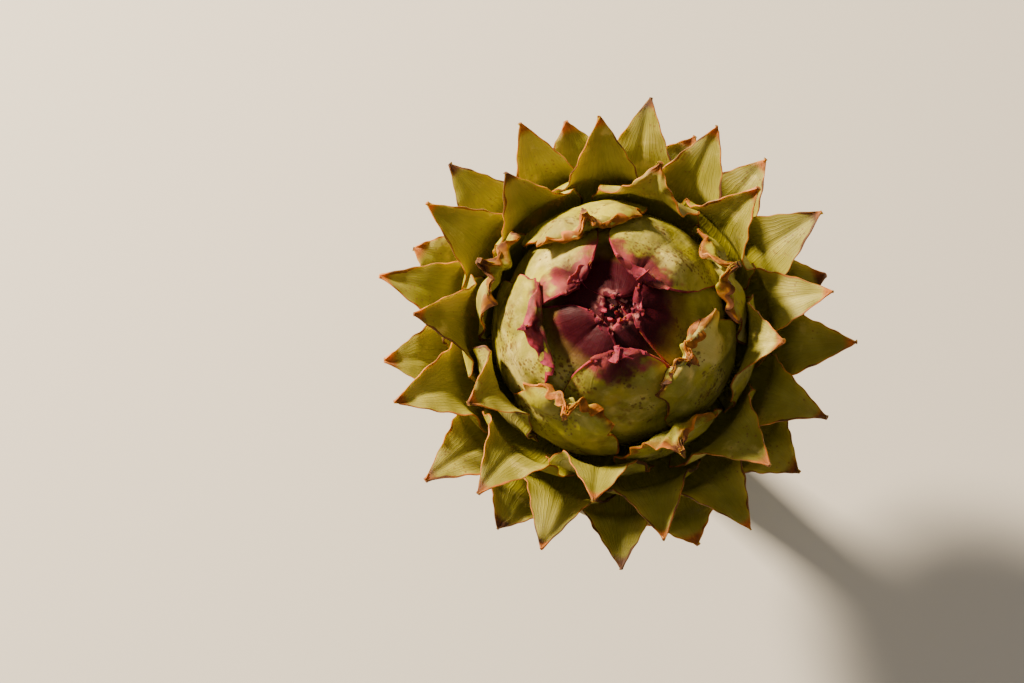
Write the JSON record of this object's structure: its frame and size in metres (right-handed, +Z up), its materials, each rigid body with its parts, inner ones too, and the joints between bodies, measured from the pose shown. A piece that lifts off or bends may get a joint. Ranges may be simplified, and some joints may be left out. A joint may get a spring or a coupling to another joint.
{
  "type": "cardoon head",
  "caption": "Closed cardoon thistle head: overlapping fleshy bracts with pointed, spreading tips in a spiral round a heart, on a short cut stem.",
  "frame": {"origin": "middle of the flat cut face at the bottom of the stem", "axes": "+Z up the stem to the top of the head; +X and +Y are across it, with the free end of the innermost bract 18.6 degrees clockwise from +X seen from above"},
  "size_m": [0.0945, 0.0953, 0.1122],
  "materials": {
    "stem": "matte",
    "inner_bract": "satin",
    "closed_bract": "satin",
    "outer_bract": "satin"
  },
  "bodies": {
    "root": {"stem_and_heart": "stem", "bract_01": "inner_bract", "bract_02": "inner_bract", "bract_03": "inner_bract", "bract_04": "inner_bract", "bract_05": "inner_bract", "bract_06": "inner_bract", "bract_07": "inner_bract", "bract_08": "inner_bract", "bract_09": "inner_bract", "bract_10": "closed_bract", "bract_11": "closed_bract", "bract_12": "closed_bract", "bract_13": "closed_bract", "bract_14": "closed_bract", "bract_15": "closed_bract", "bract_16": "closed_bract", "bract_17": "closed_bract", "bract_18": "closed_bract", "bract_19": "closed_bract", "bract_20": "outer_bract", "bract_21": "outer_bract", "bract_22": "outer_bract", "bract_23": "outer_bract", "bract_24": "outer_bract", "bract_25": "outer_bract", "bract_26": "outer_bract", "bract_27": "outer_bract", "bract_28": "outer_bract", "bract_29": "outer_bract", "bract_30": "outer_bract", "bract_31": "outer_bract", "bract_32": "outer_bract", "bract_33": "outer_bract", "bract_34": "outer_bract", "bract_35": "outer_bract", "bract_36": "outer_bract", "bract_37": "outer_bract", "bract_38": "outer_bract", "bract_39": "outer_bract", "bract_40": "outer_bract", "bract_41": "outer_bract", "bract_42": "outer_bract", "bract_43": "outer_bract", "bract_44": "outer_bract", "bract_45": "outer_bract", "bract_46": "outer_bract", "bract_47": "outer_bract", "bract_48": "outer_bract", "bract_49": "outer_bract", "bract_50": "outer_bract", "bract_51": "outer_bract", "bract_52": "outer_bract", "bract_53": "outer_bract", "bract_54": "outer_bract"}
  },
  "joints": []
}
